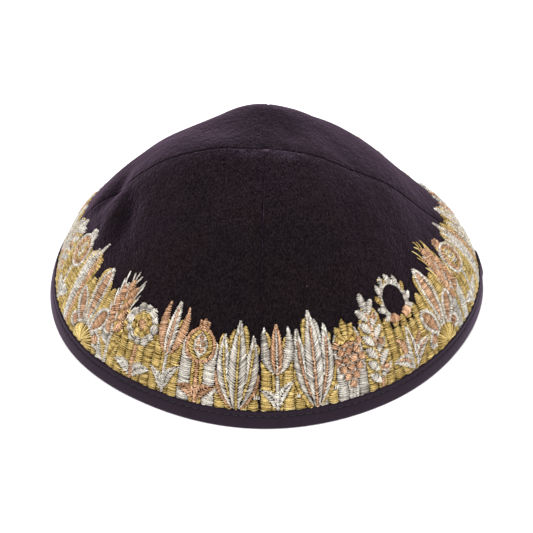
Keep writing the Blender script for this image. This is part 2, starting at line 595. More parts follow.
def build_binding():
    around = 720
    turns = np.arange(around) * 360 / around
    z, rise = upright_table(turns)
    at_rise = lambda v: np.array([np.interp(v, rise[k], TABLE_DOWN) for k in range(around)])
    slot_out, slot_in = TAPE_STAND - TAPE_WALL, -(WALL + 0.45)
    out, inn = TAPE_STAND, -(WALL + 0.45) - TAPE_WALL
    # rows: distance up from the rim, offset from the velvet's outer face
    rows = [(-0.15, out - 0.75), (-0.05, out - 0.30), (0.35, out - 0.06), (1.0, out + 0.06), (2.0, out + 0.13), (3.0, out + 0.16),
            (4.0, out + 0.12), (4.7, out + 0.05), (5.2, out - 0.08), (5.5, out - 0.26), (5.8, out - 0.08), (6.3, out + 0.02),
            (6.8, out - 0.02), (7.15, out - 0.18), (7.3, out - 0.45), (7.15, slot_out + 0.05), (6.0, slot_out - 0.15),
            (1.2, slot_out), (1.4, slot_in), (6.6, slot_in + 0.05), (7.5, slot_in), (7.7, slot_in - 0.35), (7.5, inn - 0.02), (6.8, inn - 0.10),
            (5.6, inn + 0.08), (4.6, inn - 0.08), (3.0, inn - 0.12), (1.6, inn), (0.9, inn + 0.35), (0.55, inn + 0.9)]
    arc = np.radians(turns) * 88.0
    phase = (arc / STITCH) % 1.0
    pinch = np.exp(-(((phase + 0.5) % 1 - 0.5) / 0.16) ** 2)      # where the needle went through
    from_join = (turns - JOIN_TURN + 180) % 360 - 180
    from_join = np.radians(from_join) * 88.0
    double = smooth(from_join, -0.15, 0.25) * smooth(from_join, JOIN_LENGTH + 0.6, JOIN_LENGTH)
    points = []
    for k, (v, off) in enumerate(rows):
        down = at_rise(v)
        r, h, nr, nz = section(turns, down)
        lift = np.full(around, off)
        if k <= 14:
            near = math.exp(-((v - STITCH_RISE) / 0.9) ** 2)
            lift = lift - 0.12 * near * pinch + 0.62 * double * (0.25 + 0.75 * smooth(np.full(around, v), -0.2, 1.0))
            lift = lift + 0.05 * np.sin(arc / 5.1 + 1.0) * np.sin(v / 2.0)
        if k >= 22:
            near = math.exp(-((v - 5.6) / 0.9) ** 2)
            lift = lift + 0.16 * near * pinch - 0.45 * double * smooth(np.full(around, v), 0.5, 1.5)
        r2, h2 = r + lift * nr, h + lift * nz
        h2 = np.maximum(h2, 0.0)
        if k in (0, len(rows) - 1):
            h2[:] = 0.0
        if k == 1:
            h2 = np.minimum(h2, 0.12)
        if v <= 1.4 and 16 <= k <= 18:
            h2[:] = TAPE_WALL
        points.append(np.stack([CENTRE[0] + r2 * np.cos(turns * DEG), CENTRE[1] + r2 * np.sin(turns * DEG), h2], -1))
    m = len(rows)
    p = np.array(points).transpose(1, 0, 2).reshape(-1, 3)
    ring = np.arange(around * m).reshape(around, m)
    nxt = np.roll(ring, -1, axis=0)
    faces = quads(ring, nxt, np.roll(nxt, -1, axis=1), np.roll(ring, -1, axis=1))
    obj = make_mesh("tape_binding", p, [faces], TAPE)
    across = np.cumsum([0] + [math.hypot(rows[i + 1][0] - rows[i][0], rows[i + 1][1] - rows[i][1]) for i in range(m - 1)])
    corner_arc = np.stack([arc, np.append(arc[1:], 2 * math.pi * 88), np.append(arc[1:], 2 * math.pi * 88), arc], -1)
    corner_across = np.stack([across, across, np.append(across[1:], across[-1] + 4), np.append(across[1:], across[-1] + 4)], -1)
    uv = np.stack([np.broadcast_to(corner_arc[:, None, :], (around, m, 4)), np.broadcast_to(corner_across[None, :, :], (around, m, 4))], -1)
    uv_layer(obj, "cloth", uv.reshape(-1, 2))
    shade = np.zeros((around, m))
    shade[:, 8:11] = (0.35, 1.0, 0.35)
    shade[:, 13:16] = (0.3, 0.8, 1.0)
    obj.data.attributes.new("hollow", "FLOAT", "POINT").data.foreach_set("value", shade.ravel().astype(np.float32))
    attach(obj, "root")
    return obj, at_rise, arc


binding, _, _ = build_binding()
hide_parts("rim_binding")


# ---------------------------------------------------------------------------
# Strands: every stitch is a closed body of its own in a joined mesh
# ---------------------------------------------------------------------------
def strands(name, paths, sideways, up, width, thick, tone, material, length):
    """paths: list of (n, m, 3) arrays with matching sideways and up vectors of the same shape."""
    points, faces, strand_uv, bake_uv, tones = [], [], [], [], []
    total = sum(p.shape[0] for p in paths)
    nx = max(1, int(math.ceil(math.sqrt(total / 5))))
    ny = int(math.ceil(total / nx))
    base, cell = 0, 0
    for p, s, u, w, h, tn, ln in zip(paths, sideways, up, width, thick, tone, length):
        n, m = p.shape[:2]
        taper = np.ones(m)
        taper[0] = taper[-1] = 0.55
        half = (w[:, None] * taper[None, :] / 2)[..., None]
        left = p - s * half
        right = p + s * half
        top = p + u * (h[:, None, None] * taper[None, :, None])
        verts = np.stack([left, top, right], 2)               # n, m, 3, xyz
        points.append(verts.reshape(-1, 3))
        ids = base + np.arange(n * m * 3).reshape(n, m, 3)
        a, b = ids[:, :-1], ids[:, 1:]
        for i, j in ((0, 1), (1, 2), (2, 0)):
            faces.append(("q", quads(a[..., i], b[..., i], b[..., j], a[..., j])))
            along0 = np.broadcast_to(np.linspace(0, 1, m)[None, :-1], (n, m - 1))
            along1 = np.broadcast_to(np.linspace(0, 1, m)[None, 1:], (n, m - 1))
            y0, y1 = {0: (0.0, 0.4), 1: (0.4, 0.8), 2: (0.8, 1.0)}[i]
            cells = cell + np.arange(n)
            cx, cy = (cells % nx)[:, None], (cells // nx)[:, None]
            quad_uv = []
            for x, y in ((along0, y0), (along1, y0), (along1, y1), (along0, y1)):
                quad_uv.append(np.stack([(cx + 0.04 + 0.92 * x) / nx, (cy + 0.06 + 0.88 * (y + 0 * x)) / ny], -1))
            bake_uv.append(np.stack(quad_uv, 2).reshape(-1, 2))
            quad_uv = [np.stack([x * ln[:, None], y + 0 * x], -1) for x, y in ((along0, y0), (along1, y0), (along1, y1), (along0, y1))]
            strand_uv.append(np.stack(quad_uv, 2).reshape(-1, 2))
        for end, flip in ((ids[:, 0], True), (ids[:, -1], False)):
            tri = end[:, ::-1] if flip else end
            faces.append(("t", tri))
            cells = cell + np.arange(n)
            cx, cy = (cells % nx)[:, None] + 0 * tri, (cells // nx)[:, None] + 0 * tri
            at = 0.02 if flip else 0.98
            corner = np.array([0.1, 0.5, 0.9])
            bake_uv.append(np.stack([(cx + at + np.array([0, 0.01, 0])) / nx, (cy + corner) / ny], -1).reshape(-1, 2))
            strand_uv.append(np.stack([cx * 0.0, corner + 0 * cx], -1).reshape(-1, 2))
        tones.append(np.repeat(tn, m * 3))
        base += n * m * 3
        cell += n
    obj = make_mesh(name, np.concatenate(points), [f for _, f in faces], material)
    uv_layer(obj, "strand", np.concatenate(strand_uv))
    uv_layer(obj, "OFBake", np.concatenate(bake_uv))
    attribute = obj.data.attributes.new("tone", "FLOAT", "POINT")
    attribute.data.foreach_set("value", np.concatenate(tones).astype(np.float32))
    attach(obj, "root")
    return obj


def unit(v):
    return v / np.maximum(np.linalg.norm(v, axis=-1, keepdims=True), 1e-9)


# ---------------------------------------------------------------------------
# Edge stitches of the binding
# ---------------------------------------------------------------------------
def edge_stitches():
    count = int(2 * math.pi * 88 / STITCH)
    mid = (np.arange(count) + 0.5) * 360 / count
    turns = mid[:, None] + np.linspace(-0.40, 0.40, 6)[None, :] * 360 / count
    flat = turns.ravel()
    _, rise = upright_table(flat)

    def line(v, off, sink):
        down = np.array([np.interp(v, rise[k], TABLE_DOWN) for k in range(len(flat))])
        r, h, nr, nz = section(flat, down)
        shape = np.array([sink, 0.02, 0.10, 0.10, 0.02, sink])
        lift = off + np.tile(shape, count)
        from_join = np.radians((flat - JOIN_TURN + 180) % 360 - 180) * 88
        double = smooth(from_join, -0.15, 0.25) * smooth(from_join, JOIN_LENGTH + 0.6, JOIN_LENGTH)
        lift = lift + (0.62 if off > 0 else -0.45) * double
        r2, h2 = r + lift * nr, h + lift * nz
        p = np.stack([CENTRE[0] + r2 * np.cos(flat * DEG), CENTRE[1] + r2 * np.sin(flat * DEG), h2], -1)
        n = np.stack([nr * np.cos(flat * DEG), nr * np.sin(flat * DEG), nz], -1) * (1 if off > 0 else -1)
        return p.reshape(count, 6, 3), n.reshape(count, 6, 3)

    paths, ups, sides = [], [], []
    for v, off, sink in ((STITCH_RISE, TAPE_STAND - 0.12, -0.22), (5.6, -(WALL + 0.45) - TAPE_WALL + 0.06, 0.22)):
        p, n = line(v, off, sink)
        if off < 0:
            p, n = p[:, ::-1], n[:, ::-1]
        t = unit(np.gradient(p, axis=1))
        paths.append(p)
        ups.append(n)
        sides.append(unit(np.cross(t, n)))
    w = [np.full(count, 0.32)] * 2
    h = [np.full(count, 0.18)] * 2
    tn = [RNG.random(count)] * 2
    ln = [np.full(count, STITCH * 0.8)] * 2
    obj = strands("edge_stitches", paths, sides, ups, w, h, tn, SEWING, ln)


edge_stitches()

# ---------------------------------------------------------------------------
# Embroidery: the drawings, in millimetres along the rim (u) and up the panel (v)
# ---------------------------------------------------------------------------
PITCH = 0.40
FOOT = 7.4
SIDE = 0.34           # the stitching stops this far from a seam


def crossings(outline, origin, along, across):
    """Sorted distances along each line at which it crosses the outline."""
    d = outline[None] - origin[:, None]
    s, t = (d * across[:, None]).sum(-1), (d * along[:, None]).sum(-1)
    s2, t2 = np.roll(s, -1, 1), np.roll(t, -1, 1)
    hit = (s > 0) != (s2 > 0)
    x = np.where(hit, t + (t2 - t) * s / np.where(hit, s - s2, 1.0), np.inf)
    return np.sort(x, axis=1)[:, :int(hit.sum(1).max(initial=0))]


def circle(cx, cy, rx, ry=None, a0=0.0, a1=360.0, n=36):
    t = np.linspace(a0, a1, n) * DEG
    return np.stack([cx + rx * np.cos(t), cy + (rx if ry is None else ry) * np.sin(t)], -1)


def spine_of(base, tip, bend, n=24):
    base, tip = np.asarray(base, float), np.asarray(tip, float)
    axis = tip - base
    length = math.hypot(*axis)
    axis = axis / length
    perp = np.array([-axis[1], axis[0]])
    t = np.linspace(0, 1, n)
    spine = base + axis * (t * length)[:, None] + perp * (bend * 4 * t * (1 - t))[:, None]
    return t, spine, perp, math.degrees(math.atan2(axis[1], axis[0]))


def lobe_shape(centre, angle, r0, r1, width, blunt=0.62):
    """Round-ended petal: base, left side, tip, right side."""
    axis = np.array([math.cos(angle * DEG), math.sin(angle * DEG)])
    perp = np.array([-axis[1], axis[0]])
    t = np.linspace(0, 1, 22) ** 0.8
    half = np.maximum(width / 2 * np.sin(np.pi * t ** 1.55) ** blunt, width * 0.12 * (1 - t))
    spine = np.asarray(centre, float) + axis * (r0 + (r1 - r0) * t)[:, None]
    return np.concatenate([spine + perp * half[:, None], (spine - perp * half[:, None])[::-1]])


def scroll(cx, cy, r, a0, turns, shrink):
    """A volute's centreline, from outside in."""
    t = np.linspace(0, 1, int(30 * abs(turns)) + 8)
    ang = (a0 + 360 * turns * t) * DEG
    rr = r * (1 - (1 - shrink) * t)
    return np.stack([cx + rr * np.cos(ang), cy + rr * np.sin(ang)], -1)


class Drawing:
    """Areas of stitches from the bottom layer up; a higher one clears what is under it."""

    def __init__(self):
        self.areas = []

    def area(self, layer, colour, outline, angle, high=0.6, longest=7.5, pitch=PITCH, gap=0.10, curve=2.5):
        outline = np.asarray(outline, float)
        along = np.array([math.cos(angle * DEG), math.sin(angle * DEG)])
        across = np.array([-along[1], along[0]])
        s = outline @ across
        origin = across * np.arange(s.min() + pitch * 0.5, s.max(), pitch)[:, None]
        if not len(origin):
            return
        x = crossings(outline, origin, np.broadcast_to(along, origin.shape), np.broadcast_to(across, origin.shape))
        a, b = [], []
        for k in range(0, x.shape[1], 2):
            ok = np.isfinite(x[:, k + 1])
            a.append(origin[ok] + along * x[ok, k, None])
            b.append(origin[ok] + along * x[ok, k + 1, None])
        if a:
            self.lines(layer, colour, outline, np.concatenate(a), np.concatenate(b), high, longest, gap, curve)

    def lines(self, layer, colour, outline, a, b, high, longest=9.0, gap=0.10, curve=2.5):
        self.areas.append(dict(layer=layer, colour=colour, outline=outline, a=a, b=b, high=high, longest=longest, gap=gap, curve=curve))

    def ribbon(self, layer, colour, path, width, slant=0.0, high=0.8, pitch=PITCH):
        """Satin stitches across a path; width is one number or one for each point."""
        path = np.asarray(path, float)
        along = np.concatenate([[0], np.cumsum(np.hypot(*np.diff(path, axis=0).T))])
        width = np.broadcast_to(width, along.shape)
        at = np.linspace(0, along[-1], max(3, int(along[-1] / pitch)))
        centre = np.stack([np.interp(at, along, path[:, 0]), np.interp(at, along, path[:, 1])], -1)
        w = np.interp(at, along, width)[:, None]
        t = unit(np.gradient(centre, axis=0))
        normal = np.stack([-t[:, 1], t[:, 0]], -1)
        c, s = math.cos(slant * DEG), math.sin(slant * DEG)
        cross = (normal * c + t * s) / c
        outline = np.concatenate([centre + normal * w / 2, (centre - normal * w / 2)[::-1]])[::2]
        self.lines(layer, colour, outline, centre - cross * w / 2, centre + cross * w / 2, high)

    def rays(self, layer, colour, centre, r0, r1, a0, a1, high=0.6):
        """Stitches that fan out round a centre; angles in degrees."""
        centre = np.asarray(centre, float)
        count = max(3, int(abs(a1 - a0) * DEG * (r0 * 0.35 + r1 * 0.65) / PITCH))
        ang = np.linspace(a0, a1, count) * DEG
        ray = np.stack([np.cos(ang), np.sin(ang)], -1)
        edge = np.linspace(a0, a1, 24) * DEG
        rim = np.stack([np.cos(edge), np.sin(edge)], -1)
        outline = np.concatenate([centre + rim * r1, centre + rim[::-1] * max(r0, 0.01)])
        self.lines(layer, colour, outline, centre + ray * r0, centre + ray * r1, high)

    # -- parts of the motifs -------------------------------------------------
    def blade(self, layer, base, tip, width, colours, bend=0.0, belly=0.5, high=0.7, slant=46, rib=None):
        """A pointed leaf: whole with one colour, or two halves of slanted satin."""
        t, spine, perp, angle = spine_of(base, tip, bend)
        power = math.log(0.5) / math.log(belly)
        half = (width / 2 * np.sin(np.pi * t ** power) ** 0.85)[:, None]
        if len(colours) == 1:
            self.area(layer, colours[0], np.concatenate([spine + perp * half, (spine - perp * half)[::-1]]), angle + 90, high)
        else:
            self.area(layer, colours[0], np.concatenate([spine + perp * half, spine[::-1]]), angle + slant, high)
            self.area(layer, colours[1], np.concatenate([spine - perp * half, spine[::-1]]), angle - slant, high)
        if rib:
            self.ribbon(layer + 0.05, rib, spine[1:-4], 0.8, high=high + 0.25)

    def petal(self, layer, centre, angle, r0, r1, width, edge_colour, core, edge=1.35, high=0.75):
        shape = lobe_shape(centre, angle, r0, r1 - edge / 2, width - edge)
        self.area(layer, core, shape, angle + 90, high * 0.9)
        self.ribbon(layer + 0.05, edge_colour, shape, edge, high=high + 0.1)

    def awn(self, layer, colour, base, tip):
        """Three long straight stitches that meet in a point."""
        base, tip = np.asarray(base, float), np.asarray(tip, float)
        side = np.array([-(tip - base)[1], (tip - base)[0]])
        side = side / math.hypot(*side)
        share = np.array([-1.0, 0.0, 1.0])[:, None]
        a, b = base + side * 0.34 * share, tip + side * 0.05 * share - (tip - base) * 0.18 * np.abs(share)
        self.lines(layer, colour, np.array([a[0], a[2], tip]), a, b, 0.35)

    def disc(self, layer, colour, cx, cy, r, angle, high=0.8):
        self.area(layer, colour, circle(cx, cy, r, n=20)[:-1], angle, high)

    def foot_leaves(self, u, w, level, colour, stem):
        """A stem with a leaf arching out to either side under a flower or a fruit."""
        if level - FOOT > 1.0:
            self.ribbon(4.2, stem, [(u, FOOT - 1), (u, level + 0.5)], 1.5)
        if level - FOOT > 3.0:
            for s in (-1, 1):
                tip = (u + s * w * 0.53, FOOT + (level - FOOT) * (0.42 + 0.07 * s))
                self.blade(4, (u, FOOT + 0.2), tip, min(4.8, w * 0.32), (colour, colour), bend=s * 2.3, belly=0.52)

    # -- motifs: u is the middle, w the width, top the highest point -----------
    def spray(self, u, w, top, c):
        tall = top - FOOT
        for s in (-1, 1):
            self.blade(4, (u, FOOT - 1), (u + s * w * 0.48, FOOT + tall * 0.52), w * 0.30, (c[1],), bend=-s * w * 0.08)
            self.blade(4.2, (u, FOOT - 1), (u + s * w * 0.37, FOOT + tall * 0.84), w * 0.36, (c[0], c[0]), bend=-s * w * 0.11, rib=c[2])
        self.blade(4.5, (u, FOOT - 2), (u, top), w * 0.44, (c[0], c[0]), rib=c[2])

    def reeds(self, u, w, top, c):
        """A tuft of narrow leaves that open outwards."""
        for k, share in enumerate((-0.50, 0.46, -0.27, 0.25, 0.0)):
            tip = (u + share * w * 1.02, top - 13.0 * abs(share) ** 0.8 - (1.5 if share > 0 else 0))
            self.blade(4 + 0.1 * k, (u + share * w * 0.42, FOOT - 3), tip, w * 0.30, (c[k % 2],), bend=share * 4.6, belly=0.5, high=0.85)

    def wheat(self, u, w, top, c):
        ear, low = top - 4.5, FOOT + (top - FOOT) * 0.36
        self.ribbon(4.3, c[1], [(u, FOOT - 1), (u, low + 2)], 1.3)
        for s in (-1, 1):
            self.blade(4, (u, FOOT - 1), (u + s * w * 0.58, FOOT + (top - FOOT) * (0.30 + 0.05 * s)), w * 0.32, (c[2],), bend=s * 1.9)
        count = max(3, round((ear - low) / 4.4))
        step = (ear - low) / count
        for k in range(count):
            for s in (-1, 1):
                v = low + step * (k + (0.35 if s > 0 else 0.0))
                tip = (u + s * w * (0.42 - 0.02 * k), v + step * 1.15)
                self.blade(4.9 - 0.03 * k - (0.01 if s > 0 else 0), (u + s * 0.1, v - 1.2), tip, 3.7, (c[0],), bend=-s * 0.5, belly=0.6, high=0.95)
                self.awn(4.55, c[1], (u + s * w * 0.38, v + step * 0.9), (u + s * w * (0.66 - 0.03 * k), min(v + step + 7.5, top + 1.5)))
        self.blade(4.75, (u, ear - 2.0), (u, ear + 4.2), 3.4, (c[0],), belly=0.55, high=0.95)
        for lean in (-1.7, 0.0, 1.7):
            self.awn(4.55, c[1], (u + lean * 0.3, ear + 1.5), (u + lean * 1.5, top + 3.5 - 0.8 * abs(lean)))

    def fan(self, u, w, top, c, petals=5, spread=58):
        v0 = FOOT + 0.8
        size = top - v0
        for k in range(petals):
            a = -spread + 2 * spread * k / (petals - 1)
            r1 = min(size * (0.76 + 0.24 * math.cos(a * DEG)), w * 0.52 / max(math.sin(abs(a) * DEG), 0.01) + 0.5)
            wide = min(2 * size * 0.60 * math.sin(spread / (petals - 1) * DEG) * 1.12, 7.6)
            self.petal(5 + (0.2 if k % 2 else 0.0), (u, v0), 90 - a, size * 0.17, r1, wide, c[0], c[1])
        self.rays(5.6, c[2], (u, v0), 0.3, size * 0.22, -6, 186, high=0.9)

    def fruit(self, u, w, top, c):
        """A round fruit cut open on its seeds, with a pointed crown."""
        r = w * 0.45
        cy = top - 1.5 * r
        self.foot_leaves(u, w, cy - r, c[1], c[1])
        for k, (a, b) in enumerate(((92, 268), (-88, 88))):
            self.area(5, c[0], circle(u, cy, r - 0.6, None, a, b, 24), 22 if k else -22, 0.8, longest=4.4)
        self.ribbon(5.2, c[1], circle(u, cy, r - 0.65, None, 90, 450, 60), 1.35, high=0.9)
        x = np.linspace(-1, 1, 16)
        lens = np.concatenate([np.stack([u + r * 0.46 * (1 - x ** 2), cy + r * 0.72 * x], -1),
                               np.stack([u - r * 0.46 * (1 - x ** 2), cy + r * 0.72 * x], -1)[::-1]])
        self.area(5.4, c[2], lens, 0, 0.75)
        seed = c[4] if len(c) > 4 else c[1]
        for su, sv in ((0, 0.42), (-0.17, 0.12), (0.17, 0.08), (-0.14, -0.22), (0.13, -0.28)):
            self.blade(5.5, (u + su * r, cy + (sv - 0.15) * r), (u + su * r, cy + (sv + 0.17) * r), r * 0.24, (seed,), high=1.1)
        for lean, long in ((-30, 0.52), (30, 0.52), (0, 0.60)):
            base = np.array([u + 0.16 * r * math.sin(lean * DEG), cy + r * 0.90])
            tip = base + r * long * np.array([math.sin(lean * DEG), math.cos(lean * DEG)])
            self.blade(5.6 + (0.1 if lean == 0 else 0), base, tip, r * 0.36, (c[3 if len(c) > 3 else 2],), belly=0.42)

    def tulip(self, u, w, top, c):
        tall = top - FOOT
        cup = FOOT + tall * 0.42
        self.ribbon(4.2, c[2], [(u, FOOT - 1), (u, cup + 1)], 1.5)
        for s in (-1, 1):
            self.blade(4, (u, FOOT - 1), (u + s * w * 0.54, FOOT + tall * (0.30 + 0.05 * s)), 3.7, (c[2], c[2]), bend=s * 2.2)
            self.blade(5, (u + s * 0.6, cup), (u + s * w * 0.40, top - 1.5), w * 0.36, (c[0],), bend=-s * w * 0.17, belly=0.45, high=0.8)
        self.blade(5.2, (u, cup - 0.5), (u, top), w * 0.40, (c[1], c[1]), belly=0.45, high=0.9, rib=c[0])

    def rosette(self, u, w, top, c):
        """An open flower seen from the front, with two rings of petals."""
        r = w * 0.50
        cy = top - r
        self.foot_leaves(u, w, cy - r, c[1], c[2])
        for k in range(12):
            a = 90 + 30 * k
            self.area(5 + 0.05 * (k % 2), c[1], lobe_shape((u, cy), a, r * 0.40, r * (1.0 if k % 2 else 0.93), r * 0.50), 90 + a, 0.8)
        for k in range(8):
            a = 90 + 45 * (k + 0.5)
            self.area(5.3 + 0.02 * (k % 2), c[0], lobe_shape((u, cy), a, r * 0.12, r * 0.62, r * 0.42), 90 + a, 0.95)
        self.disc(5.6, c[2], u, cy, r * 0.24, 45, 1.1)

    def grapes(self, u, w, top, c):
        v = top - 9.0
        self.ribbon(4.2, c[2], [(u, FOOT - 1), (u, v)], 1.3)
        for k, (count, shift) in enumerate(((4, 0), (3, 0), (4, 0), (3, 0), (2, 0), (1, 0))):
            y = v - 3.15 * k
            if y < FOOT + 2.0:
                break
            for m in range(count):
                self.disc(5, c[0], u + (m - (count - 1) / 2) * min(3.5, w * 0.27), y, 1.62, 35 if (m + k) % 2 else -35, 1.0)
        for lean, long in ((-68, 0.62), (68, 0.62), (-34, 0.82), (34, 0.82), (0, 0.95)):
            tip = np.array([u, v + 0.5]) + 9.0 * long * np.array([math.sin(lean * DEG) * w / 13, math.cos(lean * DEG)])
            self.blade(5.5 + 0.01 * long, (u, v + 0.5), tip, 3.9, (c[1],), belly=0.58, high=0.8)

    def branch(self, u, w, top, c):
        t = np.linspace(0, 1, 14)
        x = u + 0.9 * np.sin(t * 4.2)
        self.ribbon(4.4, c[1], np.stack([x, FOOT - 1 + (top - 5 - FOOT) * t], -1), 1.3)
        v, k = FOOT + 2.0, 0
        while v < top - 8.5:
            for s in (-1, 1):
                y = v + (1.8 if s > 0 else 0)
                self.blade(4.6, (u + s * 0.5, y), (u + s * w * 0.46, y + 5.2), 3.5, (c[0],), bend=s * 0.5, high=0.8)
                if k % 2 and s > 0:
                    self.disc(4.9, c[2], u + s * w * 0.24, y - 0.9, 1.45, 20, 0.95)
            v += 4.9
            k += 1
        self.blade(4.7, (u, top - 8), (u, top), 3.8, (c[0],), high=0.8)

    def wreath(self, u, w, top, c):
        """A ring of satin cord with leaves round it, on the bare velvet above a low bed of leaves."""
        r = w * 0.33
        cy = top - r - 2.4
        self.ribbon(5, c[0], circle(u, cy, r, None, -90, 270, 70), 1.9, high=0.95)
        for k in range(13):
            a = -90 + 360 * (k + 0.5) / 13
            lean = -52 if 90 < a % 360 < 270 else 52
            base = np.array([u, cy]) + (r - 0.2) * np.array([math.cos(a * DEG), math.sin(a * DEG)])
            tip = base + 4.3 * np.array([math.cos((a + lean) * DEG), math.sin((a + lean) * DEG)])
            self.blade(5.2 + 0.01 * k, base, tip, 2.5, (c[0] if k % 3 else c[1],), high=0.8)
        for s in (-1, 1):
            self.blade(5.5, (u, cy - r - 0.2), (u + s * w * 0.30, cy - r + 1.4), 3.9, (c[2],), bend=s * 0.4, belly=0.62, high=1.0)
            self.blade(4.6, (u, FOOT - 1), (u + s * w * 0.50, FOOT + 8.0 + s), 5.0, (c[0], c[0]), bend=s * 3.0, rib=c[2])
            self.blade(4.5, (u, FOOT - 1), (u + s * w * 0.32, FOOT + 14.5 - s), 4.6, (c[2],), bend=s * 1.6)
        self.disc(5.6, c[1], u, cy - r - 0.2, 1.5, 30, 1.2)
        self.blade(4.8, (u, FOOT - 2), (u, cy - r - 3.0), 5.0, (c[0], c[0]), rib=c[1])

    # -- ground, vines and the whole panel --------------------------------------
    def compose(self, items, vines):
        """items: (motif, width, top, colours, ground colour, ground direction) from the left seam;
        vines: (from, to, height, colour, width) for the cords that run behind the motifs."""
        spare = (QUARTER - 2 * SIDE - sum(i[1] for i in items)) / len(items)
        edge, places = SIDE, []
        for item in items:
            places.append((edge, edge + item[1] + spare))
            edge += item[1] + spare
        tops = [i[2] for i in items]
        xs, ys = [0.0], [FOOT + 0.66 * (tops[0] - FOOT)]
        for k, (item, (u0, u1)) in enumerate(zip(items, places)):
            share = 0.50 if item[0] == "wreath" else 0.86
            near = min(item[2], tops[k + 1] if k + 1 < len(tops) else item[2])
            for t, s in ((0.25, share), (0.5, share + 0.02), (0.75, share)):
                xs.append(u0 + (u1 - u0) * t)
                ys.append(FOOT + s * (item[2] - FOOT))
            xs.append(u1)
            ys.append(FOOT + 0.66 * (near - FOOT))
        top = lambda x: np.interp(x, xs, ys) + 0.5 * np.sin(np.asarray(x) / 1.9)
        for k, ((kind, w, high, colours, ground, angle), (u0, u1)) in enumerate(zip(items, places)):
            # the ground: upright columns of satin with pointed tops
            count = max(2, round((u1 - u0) / 4.6))
            for m in range(count):
                v0, v1 = u0 + m * (u1 - u0) / count, u0 + (m + 1) * (u1 - u0) / count
                x = np.linspace(v0 + 0.05, v1 - 0.05, 15)
                cap = float(top((v0 + v1) / 2)) + (2.6, 0.8, 1.9, 0.2)[(m + k) % 4]
                arch = 3.0 * np.abs(2 * (x - v0) / (v1 - v0) - 1) ** 1.6
                outline = np.concatenate([np.stack([x, np.full(15, FOOT - 0.4)], -1), np.stack([x, cap - arch], -1)[::-1]])
                self.area(0.1 * (m % 2), ground[m % len(ground)], outline, angle * (1 if m % 2 else -1), 0.62, gap=0.04)
            getattr(self, kind)((u0 + u1) / 2, w, high, colours)
        for k, (u0, u1, v, colour, wide) in enumerate(vines):
            x = np.linspace(u0, u1, max(8, int((u1 - u0) / 0.8)))
            y = v + 0.9 * np.sin((x - u0) / 7.5 + 1.7 * k)
            self.ribbon(1, colour, np.stack([x, y], -1), wide, slant=12, high=0.65)

    # -- stitches ----------------------------------------------------------
    def stitches(self, rng):
        out = {}
        areas = sorted(self.areas, key=lambda a: a["layer"])
        low, top = [a["outline"].min(0) for a in areas], [a["outline"].max(0) for a in areas]
        for i, area in enumerate(areas):
            a, b = area["a"], area["b"]
            length = np.hypot(*(b - a).T)
            keep = length > 0.3
            a, b, length = a[keep], b[keep], length[keep]
            if not len(a):
                continue
            along = (b - a) / length[:, None]
            across = np.stack([-along[:, 1], along[:, 0]], -1)
            start, end = np.zeros(len(a)), length.copy()
            for axis, least, most in ((0, SIDE, QUARTER - SIDE), (1, FOOT, 60.0)):
                slope = np.where(np.abs(along[:, axis]) < 1e-6, 1e-6, along[:, axis])
                t0, t1 = (least - a[:, axis]) / slope, (most - a[:, axis]) / slope
                start, end = np.maximum(start, np.minimum(t0, t1)), np.minimum(end, np.maximum(t0, t1))
            cuts = {}
            gap = area["gap"]
            for j in range(i + 1, len(areas)):
                if areas[j]["layer"] <= area["layer"] + 1e-6 or (low[j] > top[i]).any() or (top[j] < low[i]).any():
                    continue
                x = crossings(areas[j]["outline"], a, along, across)
                for k in range(0, x.shape[1], 2):
                    for m in np.nonzero((x[:, k] < end) & (x[:, k + 1] > start) & np.isfinite(x[:, k + 1]))[0]:
                        cuts.setdefault(m, []).append((x[m, k] - gap, x[m, k + 1] + gap))
            shade = rng.normal(0, 0.05)
            found = out.setdefault(area["colour"], [])
            for m in range(len(a)):
                at, stop = start[m], end[m]
                spans = []
                for c0, c1 in sorted(cuts.get(m, ())):
                    if c0 > at:
                        spans.append((at, min(c0, stop)))
                    at = max(at, c1)
                if at < stop:
                    spans.append((at, stop))
                for s, e in spans:
                    self.put(found, a[m], along[m], s, e, area, m, shade, rng)
        return {c: tuple(np.array([s[k] for s in v]) for k in range(5)) for c, v in out.items() if v}

    @staticmethod
    def put(found, origin, along, s, e, area, k, shade, rng):
        length = e - s
        if length < 0.45:
            return
        longest = area["longest"]
        at = [s, e]
        if length > longest * 1.3:
            grid = np.arange(s - (s % longest) + longest * ((k * 0.37) % 1.0), e, longest)
            grid = grid[(grid > s + 0.9) & (grid < e - 0.9)]
            at = [s, *grid, e]
        # the needle goes to and fro: neighbours meet in pairs at either edge
        turn = 1.0 if k % 2 else -1.0
        across = np.array([-along[1], along[0]])
        for x0, x1 in zip(at[:-1], at[1:]):
            jog = rng.normal(0, 0.045, 4)
            a = origin + along * (x0 + (rng.normal(0, 0.13) if x0 == s else 0)) + jog[:2]
            b = origin + along * (x1 + (rng.normal(0, 0.13) if x1 == e else 0)) + jog[2:]
            swing = across * turn * 0.15 * min(1.0, (x1 - x0) / 2)
            found.append((a - swing, b + swing, area["high"], area["curve"], shade + 0.07 * turn))


